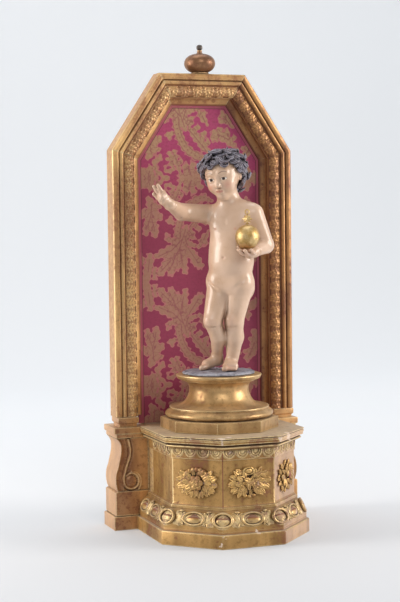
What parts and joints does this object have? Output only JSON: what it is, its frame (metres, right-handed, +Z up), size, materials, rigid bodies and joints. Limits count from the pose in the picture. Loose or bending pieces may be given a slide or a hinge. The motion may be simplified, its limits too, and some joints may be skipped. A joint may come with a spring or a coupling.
{
  "type": "child jesus statue",
  "caption": "Painted wooden figure of a blessing child with an orb, on a turned gilded pedestal before a damask-backed gilded frame with an octagonal scroll-sided stand.",
  "frame": {"origin": "on the floor, under the middle of the whole stand's box", "axes": "+Z up, -Y out of the front of the frame, +X to the viewer's right"},
  "size_m": [0.3946, 0.3122, 0.9534],
  "materials": {
    "gilded_wood": "water gilding over red bole, burnished, worn at the edges",
    "toned_gilding": "gilding toned brown, satin",
    "painted_flesh": "oil-painted gesso, polished, glossy",
    "painted_ground": "painted grey as rock, satin",
    "damask": "silk damask, crimson ground with tan figure",
    "raw_wood": "aged, unpainted",
    "gilt_brass": "polished",
    "dark_iron": "blackened"
  },
  "bodies": {
    "root": {"base_case": "gilded_wood", "scroll_wing_left": "toned_gilding", "scroll_wing_right": "toned_gilding", "rosette_front": "gilded_wood", "rosette_left": "gilded_wood", "rosette_right": "gilded_wood", "pedestal": "gilded_wood", "ground": "painted_ground", "child_figure": "painted_flesh", "globe": "gilt_brass", "globe_cross": "gilt_brass", "stile_left": "gilded_wood", "shoulder_rail_left": "gilded_wood", "top_rail": "gilded_wood", "shoulder_rail_right": "gilded_wood", "stile_right": "gilded_wood", "foot_block_left": "gilded_wood", "foot_block_right": "gilded_wood", "damask_panel": "damask", "back_board": "raw_wood", "finial_ball": "gilded_wood", "finial_knob": "dark_iron"}
  },
  "joints": []
}
